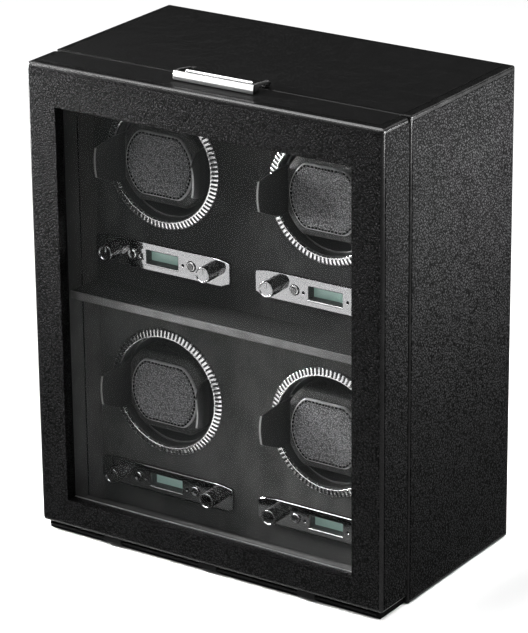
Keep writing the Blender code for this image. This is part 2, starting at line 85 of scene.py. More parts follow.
# Camera
CAMERA_PLACE = (1.2599, -1.8688, 1.0366)
CAMERA_AZIMUTH = math.radians(34.129)
CAMERA_ELEVATION = math.radians(21.012)
CAMERA_ROLL = math.radians(-0.602)
CAMERA_LENS = 189.75

# Leather: smooth leather on the edges, and pebbled sheets laid over the faces
SHEET = 0.5 * MM
SHEET_EDGE = 0.25 * MM
EDGE_ROLL = 3 * MM
DOOR_BOTTOM = 6.5 * MM
TOP_CREASE = 7.3 * MM
TOP_BAND = 4 * MM
FRONT_BAND = 3.8 * MM
CORNER_BAND = 3 * MM
GAP_BAND = 1.6 * MM
WINDOW_SIDE = 25.5 * MM
WINDOW_TOP = 30.5 * MM
WINDOW_BOTTOM = 28.5 * MM
LIP_DEPTH = 9 * MM
KNUCKLES = (-85 * MM, 0, 85 * MM)
KNUCKLE_REACH = 7.5 * MM
KNUCKLE_HALF = 2.3 * MM
NOTCH_GAP = 0.5 * MM
ROD_BORE = 1.45 * MM
PIN_BORE = 1.35 * MM

# Drum ring
RING_RIBS = 88
RIB_STEPS = 8
RIB_HEIGHT = 0.55 * MM
GROOVE_SHARE = 0.38

# A wing's radius of curve across it, and the depths it runs between, in millimetres
WING_CURVE = 50
WING_START = 30.5
WING_END = 96
WING_ROWS = 35

# The pad, and how far its stitching is from its edge
PAD_SEAM = 2.1 * MM
STITCHES = 54
PAD_RADIUS = 29.6 * MM
PAD_HALF_HEIGHT = 24.2 * MM
# How wide the pad's edge band is, which is painted lighter as a highlight
PAD_RIM = 1.3 * MM

# Control plate, about its own middle
PLATE_HALF_HEIGHT = 10.4 * MM
PLATE_EDGE = 0.55 * MM
TAPER_START = 42 * MM
TAPER_RADIUS = 71 * MM
END_HIGH = 7.8 * MM
END_LOW = -7.2 * MM
LOWER_CORNER = (52 * MM, -10.3 * MM)
DISPLAY_HALF = (14.25 * MM, 5.1 * MM)
BUTTON_X = 25.9 * MM
KNOB_X = 43 * MM
PIN_HOLE = (18.5 * MM, -0.8 * MM)


# ---------------------------------------------------------------- camera

def linked(name, data):
    """A new object in the scene."""
    made = bpy.data.objects.new(name, data)
    bpy.context.scene.collection.objects.link(made)
    return made


def make_camera():
    camera = linked("camera", bpy.data.cameras.new("camera"))
    camera.data.sensor_width = 36
    camera.data.lens = CAMERA_LENS
    flat = math.cos(CAMERA_ELEVATION)
    back = Vector((
        math.sin(CAMERA_AZIMUTH) * flat, -math.cos(CAMERA_AZIMUTH) * flat, math.sin(CAMERA_ELEVATION)
    ))
    right = Vector((0, 0, 1)).cross(back).normalized()
    up = back.cross(right)
    axes = Matrix((right, up, back)).transposed().to_4x4()
    turn = Matrix.Rotation(CAMERA_ROLL, 4, "Z")
    camera.matrix_world = Matrix.Translation(CAMERA_PLACE) @ axes @ turn
    camera.data.clip_start = 0.05
    bpy.context.scene.camera = camera


make_camera()


# ---------------------------------------------------------------- finishes

def operation(kind, swapped=False):
    """A method that adds a Math node for one of Python's operators."""
    def method(self, other):
        values = (other, self) if swapped else (self, other)
        return self.finish.node("ShaderNodeMath", {"operation": kind}, values)
    return method


class Value:
    """A node's output, on which Python's arithmetic adds Math nodes."""

    def __init__(self, finish, socket):
        self.finish = finish
        self.socket = socket

    __add__ = operation("ADD")
    __radd__ = operation("ADD", True)
    __sub__ = operation("SUBTRACT")
    __rsub__ = operation("SUBTRACT", True)
    __mul__ = operation("MULTIPLY")
    __rmul__ = operation("MULTIPLY", True)

    def step(self, low, high):
        """0 below low, 1 above high, and smooth between them."""
        settings = {"interpolation_type": "SMOOTHSTEP"}
        return self.finish.node("ShaderNodeMapRange", settings, [self, low, high])


class Finish:
    """A procedural material: nodes added one by one around its Principled shader."""

    def __init__(self, name, **constants):
        self.material = bpy.data.materials.new(name)
        self.material.use_nodes = True
        self.shader = self.material.node_tree.nodes["Principled BSDF"]
        for socket, value in constants.items():
            self.shader.inputs[socket.replace("_", " ")].default_value = value

    def node(self, kind, settings=None, values=(), output=0):
        """Adds a node of a type, with its settings first and then its sockets' values or links."""
        node = self.material.node_tree.nodes.new(kind)
        for setting, value in (settings or {}).items():
            setattr(node, setting, value)
        pairs = values.items() if isinstance(values, dict) else enumerate(values)
        for socket, value in pairs:
            self.feed(node.inputs[socket], value)
        return Value(self, node.outputs[output])

    def feed(self, socket, value):
        if isinstance(value, Value):
            self.material.node_tree.links.new(value.socket, socket)
        else:
            socket.default_value = value

    def vector(self, kind, values):
        return self.node("ShaderNodeVectorMath", {"operation": kind}, values)

    def place(self, stretch=(1, 1, 1)):
        """Where a point is on the piece, in metres, stretched along each axis."""
        point = self.node("ShaderNodeTexCoord", output="Object")
        return self.vector("MULTIPLY", [point, stretch])

    def noise(self, place, size, detail=3, output="Fac"):
        values = {"Vector": place, "Scale": 1 / size, "Detail": detail}
        return self.node("ShaderNodeTexNoise", {}, values, output)

    def cells(self, place, size, feature="DISTANCE_TO_EDGE"):
        values = {"Vector": place, "Scale": 1 / size}
        return self.node("ShaderNodeTexVoronoi", {"feature": feature}, values)

    def warped(self, place, size, reach):
        """The place pushed about by noise, so that a pattern laid on it isn't regular."""
        push = self.noise(place, size, 2, "Color")
        centred = self.vector("SUBTRACT", [push, (0.5,) * 3])
        offset = self.vector("SCALE", {0: centred, "Scale": reach})
        return self.vector("ADD", [place, offset])

    def bump(self, height, distance, strength=1.0):
        values = {"Strength": strength, "Distance": distance, "Height": height}
        self.feed(self.shader.inputs["Normal"], self.node("ShaderNodeBump", {}, values))

    def colour(self, share, first, second):
        """Mixes the base colour from two by a share, and gives the mix."""
        values = {0: share, 6: (*first, 1), 7: (*second, 1)}
        mix = self.node("ShaderNodeMix", {"data_type": "RGBA"}, values, 2)
        self.feed(self.shader.inputs["Base Color"], mix)
        return mix

    def roughness(self, value):
        self.feed(self.shader.inputs["Roughness"], value)


def leather(name, dark, light, pebble, relief, gloss, specular):
    """Pebble-grained leather: domed cells, fine pores and uneven dye, with the colour lighter on the
    domes and darker in the valleys, partly grain tone and partly painted highlight and shade.
    """
    finish = Finish(name, Specular_IOR_Level=specular)
    place = finish.place()
    warped = finish.warped(place, pebble * 1.7, pebble * 0.9)
    valley = finish.cells(warped, pebble).step(0.02, 0.28)
    small = finish.cells(finish.warped(place, pebble, pebble * 0.5), pebble * 0.45).step(0.0, 0.3)
    pores = finish.noise(place, pebble * 0.3, 4)
    dye = finish.noise(place, 30 * MM, 3)
    height = valley * 0.62 + small * 0.23 + pores * 0.15
    finish.bump(height, relief)
    # colour lighter on the domes and darker in the valleys: partly grain tone and dye, partly
    # painted highlight and shade
    grain_tone_and_painted_light = (height * 0.8 + dye * 0.2).step(0.2, 0.95)
    finish.colour(grain_tone_and_painted_light, dark, light)
    finish.roughness(gloss + 0.3 * (1 - valley) + 0.12 * (dye - 0.5))
    return finish.material


def smooth_leather(name, dark, light, gloss, specular):
    """Thin leather stretched over an edge, whose grain is pulled nearly flat."""
    finish = Finish(name, Specular_IOR_Level=specular)
    place = finish.place()
    grain = finish.cells(finish.warped(place, 1.6 * MM, 1 * MM), 1.1 * MM).step(0.0, 0.3)
    wear = finish.noise(place, 12 * MM, 4)
    finish.bump(grain, 0.03 * MM, 0.6)
    finish.colour(wear.step(0.35, 0.75), dark, light)
    finish.roughness(gloss + 0.08 * (wear - 0.5) + 0.1 * (1 - grain))
    return finish.material


def suede(name, dark, light, sheen=0.25):
    """Brushed suede cloth: a soft nap with patches, darkened above the shelf by painted shade."""
    finish = Finish(name, Specular_IOR_Level=0.1, Sheen_Weight=sheen, Sheen_Roughness=0.4)
    place = finish.place()
    patches = finish.noise(finish.place((1, 1, 0.6)), 22 * MM, 4).step(0.3, 0.72)
    strokes = finish.noise(finish.place((1, 1, 0.25)), 1.6 * MM, 4)
    nap = finish.noise(place, 0.28 * MM, 5)
    finish.bump(nap * 0.6 + strokes * 0.4, 0.22 * MM, 0.8)
    height = finish.node("ShaderNodeSeparateXYZ", {}, [place], "Z")
    # painted shade: the suede is darkened above the shelf
    shade_above_shelf = height.step(SHELF_HIGH.z - 3 * MM, SHELF_HIGH.z + 1 * MM)
    pile = patches * 0.45 + strokes * 0.35 + nap * 0.3
    finish.colour(pile - 0.62 * shade_above_shelf, dark, light)
    finish.roughness(0.88 + 0.12 * nap)
    return finish.material


def chrome(name, tone, gloss):
    """Polished plate with faint wipe marks and a little unevenness in its gloss."""
    finish = Finish(name, Metallic=1.0)
    wipes = finish.noise(finish.place((1, 1, 9)), 4 * MM, 4)
    haze = finish.noise(finish.place(), 9 * MM, 3)
    finish.roughness(gloss + 0.05 * wipes.step(0.52, 0.8) + 0.04 * haze)
    finish.colour(haze, [0.94 * part for part in tone], tone)
    return finish.material


def steel(name, tone, gloss):
    """Drawn steel with fine lines along it."""
    finish = Finish(name, Metallic=1.0)
    lines = finish.noise(finish.place((0.05, 1, 1)), 0.4 * MM, 4)
    finish.bump(lines, 0.01 * MM, 0.5)
    finish.roughness(gloss + 0.25 * (lines - 0.5))
    finish.colour(lines, [0.7 * part for part in tone], tone)
    return finish.material


def moulding(name, dark, light, texture, relief, gloss, specular=0.5):
    """Moulded plastic with a fine spark-eroded texture."""
    finish = Finish(name, Specular_IOR_Level=specular)
    place = finish.place()
    grain = finish.noise(place, texture, 4)
    cloud = finish.noise(place, 15 * MM, 2)
    finish.bump(grain, relief, 0.7)
    finish.colour(cloud.step(0.3, 0.7), dark, light)
    finish.roughness(gloss + 0.14 * (grain - 0.5))
    return finish.material


def clear_glass(name):
    """Clear low-reflection sheet glass with a trace of wiping on it."""
    finish = Finish(name, IOR=1.45, Specular_IOR_Level=0.5)
    wipes = finish.noise(finish.place((1, 1, 0.3)), 30 * MM, 4)
    finish.roughness(0.02 + 0.05 * wipes)
    finish.colour(wipes, (0.010, 0.012, 0.012), (0.020, 0.022, 0.022))
    finish.feed(finish.shader.inputs["Alpha"], 0.05 + 0.02 * wipes)
    finish.material.surface_render_method = "BLENDED"
    return finish.material


def liquid_crystal(name, dark, light, glow):
    """A lit green display, with its faint dot grid and a cloudy tint."""
    finish = Finish(name, Roughness=0.18, Emission_Strength=glow)
    place = finish.place()
    grid = finish.cells(place, 0.5 * MM, "F1").step(0.25, 0.6)
    cloud = finish.noise(place, 8 * MM, 2)
    tint = finish.colour(cloud * 0.6 + grid * 0.25, light, dark)
    finish.feed(finish.shader.inputs["Emission Color"], tint)
    return finish.material


def thread(name, dark, light):
    """Twisted sewing thread."""
    finish = Finish(name, Specular_IOR_Level=0.05)
    twist = finish.noise(finish.place(), 0.25 * MM, 3)
    finish.bump(twist, 0.05 * MM)
    finish.colour(twist, dark, light)
    finish.roughness(0.55 + 0.3 * twist)
    return finish.material


def rubber(name, dark, light):
    """Matt rubber with a dusting of wear."""
    finish = Finish(name, Specular_IOR_Level=0.3)
    dust = finish.noise(finish.place(), 1.5 * MM, 5)
    finish.bump(dust, 0.06 * MM)
    finish.colour(dust.step(0.4, 0.8), dark, light)
    finish.roughness(0.75 + 0.2 * dust)
    return finish.material


def grey(tone):
    return (tone, tone, tone)


PEBBLED = leather(
    "pebbled_leather", grey(0.0004), (0.010, 0.010, 0.0102), 2.0 * MM, 0.6 * MM, 0.36, 0.012
)
SMOOTH = smooth_leather("smooth_leather", grey(0.001), grey(0.003), 0.22, 0.10)
TOP_LEATHER = smooth_leather("top_leather", grey(0.0032), grey(0.0044), 0.45, 0.035)
EDGE_LEATHER = smooth_leather("edge_leather", grey(0.001), grey(0.003), 0.2, 0.6)
FOOT_LEATHER = smooth_leather("foot_leather", grey(0.001), grey(0.002), 0.55, 0.02)
PAD_LEATHER = leather(
    "pad_leather", (0.030, 0.030, 0.032), (0.230, 0.230, 0.235), 1.4 * MM, 0.45 * MM, 0.5, 0.3
)
# a lighter leather painted on the pad's rolled edge as a highlight
PAD_EDGE_HIGHLIGHT = smooth_leather("pad_edge_painted_highlight", grey(0.16), (0.26, 0.26, 0.265), 0.4, 0.5)
CUSHION = leather(
    "cuff_leatherette", grey(0.006), (0.022, 0.022, 0.023), 0.9 * MM, 0.08 * MM, 0.40, 0.3
)
SUEDE = suede("grey_suede", grey(0.011), (0.058, 0.058, 0.057))
SHELF_CLOTH = suede("shelf_suede", grey(0.003), grey(0.012), 0.03)
SHELF_TRIM = smooth_leather("shelf_trim", grey(0.04), grey(0.065), 0.4, 0.4)
CHROME = chrome("polished_chrome", grey(0.74), 0.03)
PLATE_CHROME = chrome("plate_chrome", (0.40, 0.40, 0.405), 0.04)
RING_CHROME = chrome("ring_chrome", grey(0.78), 0.24)
# a dark chrome painted on the knobs' sides, the buttons' dishes and the latch bar's top as shade
DARK_SHADE_CHROME = chrome("chrome_painted_shade", grey(0.16), 0.08)
# a near-black chrome painted in the ring's grooves and on the latch's ends and cheek sides as shade
DEEP_SHADE_CHROME = chrome("chrome_painted_deep_shade", grey(0.05), 0.3)
# a satin chrome for the glass bead, also painted on the latch's lower front as shade
SATIN_AND_SHADE_CHROME = chrome("satin_trim_and_painted_shade", grey(0.42), 0.28)
STEEL = steel("drawn_steel", (0.45, 0.45, 0.46), 0.35)
CUP_BLACK = moulding("cup_black", grey(0.006), grey(0.011), 0.5 * MM, 0.03 * MM, 0.35)
WING_BLACK = moulding("wing_black", grey(0.003), grey(0.006), 0.6 * MM, 0.01 * MM, 0.3)
# a lighter grey painted on the wings' front edges and the cup's inner ledge as a highlight
RIM_HIGHLIGHT = moulding("rim_painted_highlight", grey(0.10), grey(0.16), 0.6 * MM, 0.01 * MM, 0.3)
BLACK = moulding("black_plastic", grey(0.010), grey(0.018), 0.4 * MM, 0.04 * MM, 0.45)
HINGE_BLACK = moulding("hinge_black", grey(0.001), grey(0.003), 0.4 * MM, 0.02 * MM, 0.6, 0.03)
MARK = moulding("mark_paint", grey(0.02), grey(0.05), 0.3 * MM, 0.01 * MM, 0.5)
GLASS = clear_glass("clear_glass")
DISPLAY = liquid_crystal("display_green", (0.20, 0.31, 0.275), (0.29, 0.42, 0.375), 0.36)
THREAD = thread("dark_thread", grey(0.001), grey(0.003))
RUBBER = rubber("drive_rubber", grey(0.015), grey(0.05))


# ---------------------------------------------------------------- mesh tools

def meshed(name, shape, sharp=30):
    """Turns a bmesh into a smooth-shaded mesh with its sharp edges kept."""
    bmesh.ops.recalc_face_normals(shape, faces=shape.faces)
    mesh = bpy.data.meshes.new(name)
    shape.to_mesh(mesh)
    shape.free()
    return shaded(mesh, sharp)


def shaded(mesh, sharp=30):
    mesh.shade_smooth()
    mesh.set_sharp_from_angle(angle=math.radians(sharp))
    return mesh


def piece(name, mesh, body, slot, *finishes, at=(0, 0, 0)):
    """A named piece of the cabinet that rides on a body and takes the finishes given; its slot is
    not used.
    """
    made = linked(name, mesh)
    made.location = at
    if not mesh.materials:
        for finish in finishes:
            mesh.materials.append(finish)
    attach(made, body)
    return made


def evaluated_mesh(made):
    bpy.context.view_layer.update()
    graph = bpy.context.evaluated_depsgraph_get()
    return bpy.data.meshes.new_from_object(made.evaluated_get(graph))


def settle(made, sharp=30):
    """Turns a piece's modifiers into its mesh."""
    mesh = evaluated_mesh(made)
    made.modifiers.clear()
    made.data = shaded(mesh, sharp)
    return made


def roll_edges(shape, edges, offset, segments):
    bmesh.ops.bevel(
        shape, geom=edges, offset=offset, segments=segments, profile=0.5, affect="EDGES"
    )


def block(name, low, high, roll, segments=3):
    """A box between two corners, with rolled edges."""
    low, high = Vector(low), Vector(high)
    shape = bmesh.new()
    grown = Matrix.Translation((low + high) / 2) @ Matrix.Diagonal((*(high - low), 1))
    bmesh.ops.create_cube(shape, size=1, matrix=grown)
    roll_edges(shape, shape.edges, roll, segments)
    return meshed(name, shape, 40)


def add_skin(shape, rows):
    """Joins each ring of points to the next with faces."""
    for here, there in zip(rows, rows[1:]):
        for number in range(len(here)):
            after = (number + 1) % len(here)
            shape.faces.new((here[number], here[after], there[after], there[number]))


def rounded(corners, closed=True, steps=5):
    """The points of an outline whose corners, given as (a, b, fillet), are rounded by arcs."""
    points = []
    for number, (a, b, fillet) in enumerate(corners):
        corner = Vector((a, b))
        at_end = not closed and number in (0, len(corners) - 1)
        if not fillet or at_end:
            points.append((a, b))
            continue
        before = (Vector(corners[number - 1][:2]) - corner).normalized()
        after = (Vector(corners[(number + 1) % len(corners)][:2]) - corner).normalized()
        half = before.angle(after) / 2
        centre = corner + (before + after).normalized() * fillet / math.sin(half)
        start = corner + before * fillet / math.tan(half) - centre
        end = corner + after * fillet / math.tan(half) - centre
        for step in range(steps + 1):
            spoke = start.slerp(end, step / steps).normalized()
            points.append(tuple(centre + spoke * fillet))
    return points


def turned(name, corners, steps=64, sharp=30):
    """A mesh turned about the front-to-back axis. Its profile holds (radius, depth, fillet)."""
    shape = bmesh.new()
    points = [shape.verts.new((r, depth, 0)) for r, depth in rounded(corners, closed=False)]
    edges = [shape.edges.new(pair) for pair in zip(points, points[1:])]
    bmesh.ops.spin(
        shape, geom=points + edges, cent=(0, 0, 0), axis=(0, 1, 0), angle=2 * math.pi, steps=steps
    )
    bmesh.ops.remove_doubles(shape, verts=shape.verts, dist=0.001 * MM)
    return meshed(name, shape, sharp)


def round_turn(steps):
    """Angles evenly round one turn."""
    return [2 * math.pi * step / steps for step in range(steps)]


def circle(radius, steps=32, at=(0, 0)):
    return [(at[0] + radius * math.cos(a), at[1] + radius * math.sin(a)) for a in round_turn(steps)]


def rectangle(half_width, half_height, fillet=0.0, at=(0, 0)):
    signs = ((-1, -1), (1, -1), (1, 1), (-1, 1))
    corners = [(at[0] + i * half_width, at[1] + j * half_height, fillet) for i, j in signs]
    return rounded(corners)


def plate(name, outlines, front, back, edge, sharp=30):
    """A flat plate with rounded edges, seen from the front as an outline and its holes."""
    curve = bpy.data.curves.new(name, "CURVE")
    curve.dimensions = "2D"
    curve.fill_mode = "BOTH"
    curve.extrude = (back - front) / 2 - edge
    curve.bevel_depth = edge
    curve.bevel_resolution = 2
    curve.offset = -edge
    for outline in outlines:
        spline = curve.splines.new("POLY")
        spline.points.add(len(outline) - 1)
        for point, (x, z) in zip(spline.points, outline):
            point.co = (x, z, 0, 1)
        spline.use_cyclic_u = True
    guide = linked(name, curve)
    mesh = evaluated_mesh(guide)
    bpy.data.objects.remove(guide)
    shape = bmesh.new()
    shape.from_mesh(mesh)
    bpy.data.meshes.remove(mesh)
    bmesh.ops.remove_doubles(shape, verts=shape.verts, dist=0.001 * MM)
    upright = Matrix.Translation((0, (front + back) / 2, 0)) @ Matrix.Rotation(math.pi / 2, 4, "X")
    bmesh.ops.transform(shape, matrix=upright, verts=shape.verts)
    return meshed(name, shape, sharp)


def bar(name, outline, left, right, edge=0.0):
    """A bar along X from its section, whose points are (depth, height)."""
    shape = bmesh.new()
    ring = [shape.verts.new((left, y, z)) for y, z in outline]
    face = shape.faces.new(ring)
    grown = bmesh.ops.extrude_face_region(shape, geom=[face])
    moved = [item for item in grown["geom"] if isinstance(item, bmesh.types.BMVert)]
    bmesh.ops.translate(shape, verts=moved, vec=(right - left, 0, 0))
    if edge:
        ends = [e for e in shape.edges if abs(e.verts[0].co.x - e.verts[1].co.x) < GAP / 10]
        roll_edges(shape, ends, edge, 2)
    return meshed(name, shape)


def joined(name, meshes, sharp=30):
    """Several meshes as one, for details of one piece."""
    shape = bmesh.new()
    for mesh in meshes:
        shape.from_mesh(mesh)
    return meshed(name, shape, sharp)


def released(made):
    """A working object's mesh, once the object is removed."""
    mesh = made.data
    bpy.data.objects.remove(made)
    return mesh


def cut(made, name, low, high):
    """Cuts a box-shaped space from a piece."""
    carve(made, name, block(name, low, high, GAP / 10, 1))


def bored(mesh, pin, radius, left, right):
    """The mesh with a hole drilled from side to side, for a pin through it."""
    made = linked(mesh.name, mesh)
    section = [(pin.y + y, pin.z + z) for y, z in circle(radius, 20)]
    carve(made, "drill", bar("drill", section, left - MM, right + MM))
    return released(made)


def carve(made, name, mesh):
    """Cuts a mesh's shape from a piece."""
    cutter = linked(name, mesh)
    modifier = made.modifiers.new(name, "BOOLEAN")
    modifier.operation = "DIFFERENCE"
    modifier.object = cutter
    settle(made)
    bpy.data.objects.remove(cutter)


def two_tone(mesh, main, second, inside):
    """Gives a mesh its two finishes, the second where inside says so about a face's middle."""
    mesh.materials.append(main)
    mesh.materials.append(second)
    for face in mesh.polygons:
        at = face.center
        if inside(at, math.hypot(at.x, at.z)):
            face.material_index = 1
    return mesh


def repaint(made, number, inside):
    """Gives a piece's faces its numbered finish where inside says so about their middle."""
    for face in made.data.polygons:
        if inside(face.center, face.normal):
            face.material_index = number


def even_normals():
    """Keeps flat faces flat to the light where they meet rounded edges."""
    for made in bpy.context.scene.objects:
        if made.type == "MESH" and made.name not in frame["nodes"]:
            made.modifiers.new("even_normals", "WEIGHTED_NORMAL").keep_sharp = True


def middle(node):
    low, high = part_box(node)
    return (low + high) / 2


def extent(node):
    low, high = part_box(node)
    return high - low


# ---------------------------------------------------------------- case

def lay_sheets(owner, body, slot, side_span, top_span):
    """Pebbled sheets on both sides and a smooth one on top, given the y and z that each spans."""
    for name, side in (("left", -1), ("right", 1)):
        ends = sorted((side * HALF_WIDTH, side * (HALF_WIDTH - SHEET - 0.1 * MM)))
        low, high = [(x, *rest) for x, rest in zip(ends, side_span)]
        sheet = block(f"{owner}_{name}_sheet", low, high, SHEET_EDGE)
        piece(f"{owner}_{name}_sheet", sheet, body, slot, PEBBLED)
    half = HALF_WIDTH - TOP_CREASE
    top = block(f"{owner}_top_sheet", (-half, top_span[0], ROOF - SHEET), (half, top_span[1], ROOF),
                SHEET_EDGE / 2)
    piece(f"{owner}_top_sheet", top, body, slot, TOP_LEATHER)


def build_case():
    """The case: smooth leather over its edges, and pebbled or plain sheets on its faces."""
    inside = FASCIA_HIGH.x + GAP
    low = Vector((-HALF_WIDTH + SHEET, CASE_FRONT, 0))
    high = Vector((HALF_WIDTH - SHEET, BACK, ROOF - SHEET / 2))
    body = piece("case_body", block("case_body", low, high, 1.8 * MM, 4), "cabinet",
                 "case_leather", SMOOTH, SUEDE)
    cut(body, "case_cavity", (-inside, FRONT, FASCIA_LOW.z - GAP),
        (inside, BACK + 10 * MM, FASCIA_HIGH.z + GAP))
    repaint(body, 1, lambda at, normal: abs(at.x) < inside + GAP and at.z > FASCIA_LOW.z - 2 * GAP
            and at.z < FASCIA_HIGH.z + 2 * GAP and abs(normal.y) < 0.5)
    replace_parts(body, "case_shell")
    side_span = ((CASE_FRONT + GAP_BAND, 3 * MM), (BACK - CORNER_BAND, ROOF - TOP_BAND))
    lay_sheets("case", "cabinet", "case_leather", side_span,
               (CASE_FRONT + 1 * MM, BACK - TOP_CREASE))
    sill_low = (-HALF_WIDTH + 4.5 * MM, FRONT + 5 * MM, 0)
    sill_high = (HALF_WIDTH - 4.5 * MM, CASE_FRONT + 1 * MM, DOOR_BOTTOM - 0.6 * MM)
    sill = piece("case_sill", block("case_sill", sill_low, sill_high, 0.8 * MM), "cabinet",
                 "case_leather", FOOT_LEATHER)
    rod = middle("hinge_rod")
    for x in KNUCKLES:
        cut(sill, "knuckle_notch", (x - KNUCKLE_REACH - NOTCH_GAP, FRONT, -1 * MM),
            (x + KNUCKLE_REACH + NOTCH_GAP, rod.y + KNUCKLE_HALF + NOTCH_GAP, DOOR_BOTTOM))


def build_shelf():
    low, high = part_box("divider_shelf")
    board = block("shelf_board", low, high, 0.9 * MM, 4)
    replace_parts(piece("shelf_board", board, "cabinet", "suede", SHELF_CLOTH), "divider_shelf")
    trim = block("shelf_trim", (low.x + GAP, low.y - 0.2 * MM, low.z + 0.3 * MM),
                 (high.x - GAP, low.y + 1.2 * MM, high.z + 0.1 * MM), 0.5 * MM, 3)
    piece("shelf_trim", trim, "cabinet", "case_leather", SHELF_TRIM)


def screw_head(name, radius):
    """A countersunk cross-head screw, facing back."""
    head = turned(
        name,
        [(0, 0, 0), (radius, 0, 0.15 * MM), (radius * 0.9, 0.5 * MM, 0.3 * MM), (0, 0.75 * MM, 0)],
        24,
    )
    made = linked(name, head)
    for long, wide in ((radius * 0.6, 0.25 * MM), (0.25 * MM, radius * 0.6)):
        cut(made, f"{name}_slot", (-long, 0.35 * MM, -wide), (long, 2 * MM, wide))
    return released(made)


def build_back():
    """The back cover with its screws, and the round power inlet."""
    low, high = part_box("back_cover")
    centre = (low + high) / 2
    inlet = middle("power_inlet")
    inlet_radius = extent("power_inlet").x / 2
    half_width, half_height = (high.x - low.x) / 2, (high.z - low.z) / 2
    hole = circle(inlet_radius + GAP, 40, (inlet.x - centre.x, inlet.z - centre.z))
    cover = plate(
        "back_cover_panel",
        [rectangle(half_width, half_height, 1.5 * MM), hole],
        low.y, high.y - GAP, 0.4 * MM,
    )
    made = piece("back_cover_panel", cover, "cabinet", "black_plastic", BLACK,
                 at=(centre.x, 0, centre.z))
    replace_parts(made, "back_cover")
    head = screw_head("back_screw", 2.6 * MM)
    for row, z in enumerate((-1, 0, 1)):
        for column, x in enumerate((-1, 0, 1)):
            if x or z:
                at = (centre.x + x * (half_width - 8 * MM), high.y - 0.6 * MM,
                      centre.z + z * (half_height - 8 * MM))
                piece(f"back_screw_{row}_{column}", head, "cabinet", "steel", STEEL, at=at)
    start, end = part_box("power_inlet")[0].y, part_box("power_inlet")[1].y
    bore = 2.75 * MM
    socket = turned(
        "inlet_socket",
        [
            (0, start, 0), (inlet_radius, start, 0.3 * MM), (inlet_radius, end, 0.5 * MM),
            (bore, end, 0.5 * MM), (bore, end - 9.5 * MM, 0.2 * MM), (1 * MM, end - 9.5 * MM, 0),
            (1 * MM, end - 2 * MM, 0.5 * MM), (0, end - 2 * MM, 0),
        ],
        48,
    )
    made = piece("inlet_socket", socket, "cabinet", "black_plastic", BLACK,
                 at=(inlet.x, 0, inlet.z))
    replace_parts(made, "power_inlet")


# ---------------------------------------------------------------- door

def build_door():
    """The glazed door: a leather-wrapped frame, its sheets, its bead and its glass."""
    back = CASE_FRONT - 1.5 * MM
    low = Vector((-HALF_WIDTH + SHEET, FRONT + SHEET, DOOR_BOTTOM))
    high = Vector((HALF_WIDTH - SHEET, back, ROOF - SHEET / 2))
    body = piece("door_body", block("door_body", low, high, EDGE_ROLL, 5), "door",
                 "door_leather", SMOOTH, SUEDE, EDGE_LEATHER)
    repaint(body, 2, lambda at, normal: normal.z > 0.35 and normal.y < -0.35)
    window_x = HALF_WIDTH - WINDOW_SIDE
    window_top = ROOF - WINDOW_TOP
    cut(body, "window", (-window_x, FRONT - 5 * MM, WINDOW_BOTTOM), (window_x, back, window_top))
    rebate = GLASS_HIGH.x + GAP
    cut(body, "rebate", (-rebate, FRONT + LIP_DEPTH, GLASS_LOW.z - GAP),
        (rebate, back + 5 * MM, GLASS_HIGH.z + GAP))
    glass_back = GLASS_HIGH.y + GAP
    repaint(body, 1, lambda at, normal: at.y > glass_back and abs(at.x) < rebate + GAP
            and GLASS_LOW.z - 2 * GAP < at.z < GLASS_HIGH.z + 2 * GAP and abs(normal.y) < 0.5)
    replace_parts(body, "door_frame")

    outer_x = HALF_WIDTH - CORNER_BAND
    front_low, front_high = DOOR_BOTTOM + CORNER_BAND, ROOF - FRONT_BAND
    centre = (front_low + front_high) / 2
    window_centre = (WINDOW_BOTTOM + window_top) / 2
    window_half = (window_top - WINDOW_BOTTOM) / 2

    def window(grown, fillet=0.0):
        """The window's outline, grown on every side."""
        return rectangle(window_x + grown, window_half + grown, fillet, (0, window_centre))

    front = plate(
        "door_front_sheet",
        [
            rectangle(outer_x, (front_high - front_low) / 2, 1.5 * MM, (0, centre)),
            window(0, 0.8 * MM),
        ],
        FRONT, FRONT + SHEET + 0.1 * MM, SHEET_EDGE,
    )
    piece("door_front_sheet", front, "door", "door_leather", PEBBLED)
    side_span = ((FRONT + CORNER_BAND, DOOR_BOTTOM + 2.5 * MM), (back - GAP_BAND, ROOF - TOP_BAND))
    lay_sheets("door", "door", "door_leather", side_span, (FRONT + TOP_CREASE, back - 1 * MM))

    pane = block("glass_sheet", GLASS_LOW, GLASS_HIGH, 0.4 * MM, 2)
    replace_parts(piece("glass_sheet", pane, "door", "glass", GLASS), "glass_pane")
    bead = plate(
        "glass_bead",
        [window(0.1 * MM), window(-0.6 * MM)],
        FRONT + LIP_DEPTH - 0.9 * MM, FRONT + LIP_DEPTH, 0.2 * MM,
    )
    made = piece("glass_bead", bead, "door", "black_plastic", SATIN_AND_SHADE_CHROME, HINGE_BLACK)
    # painted shade: the bead's left side takes the black finish
    repaint(made, 1, lambda at, normal: at.x < -window_x + 1 * MM)
    build_hinges()


def build_hinges():
    """Three knuckles on the door's foot, which turn on the hinge rod."""
    rod_middle = middle("hinge_rod")
    reach = KNUCKLE_REACH
    for number, x in enumerate(KNUCKLES):
        section = rounded(
            [
                (-2.3 * MM, -2.2 * MM, 2 * MM), (2.3 * MM, -2.2 * MM, 2 * MM),
                (2.3 * MM, 3.2 * MM, 0.2 * MM), (-2.3 * MM, 3.2 * MM, 0.2 * MM),
            ]
        )
        places = [(rod_middle.y + y, rod_middle.z + z) for y, z in section]
        knuckle = bar(f"hinge_knuckle_{number}", places, x - reach, x + reach, 0.3 * MM)
        knuckle = bored(knuckle, rod_middle, ROD_BORE, x - reach, x + reach)
        piece(f"hinge_knuckle_{number}", knuckle, "door", "black_plastic", HINGE_BLACK)


# ---------------------------------------------------------------- latch

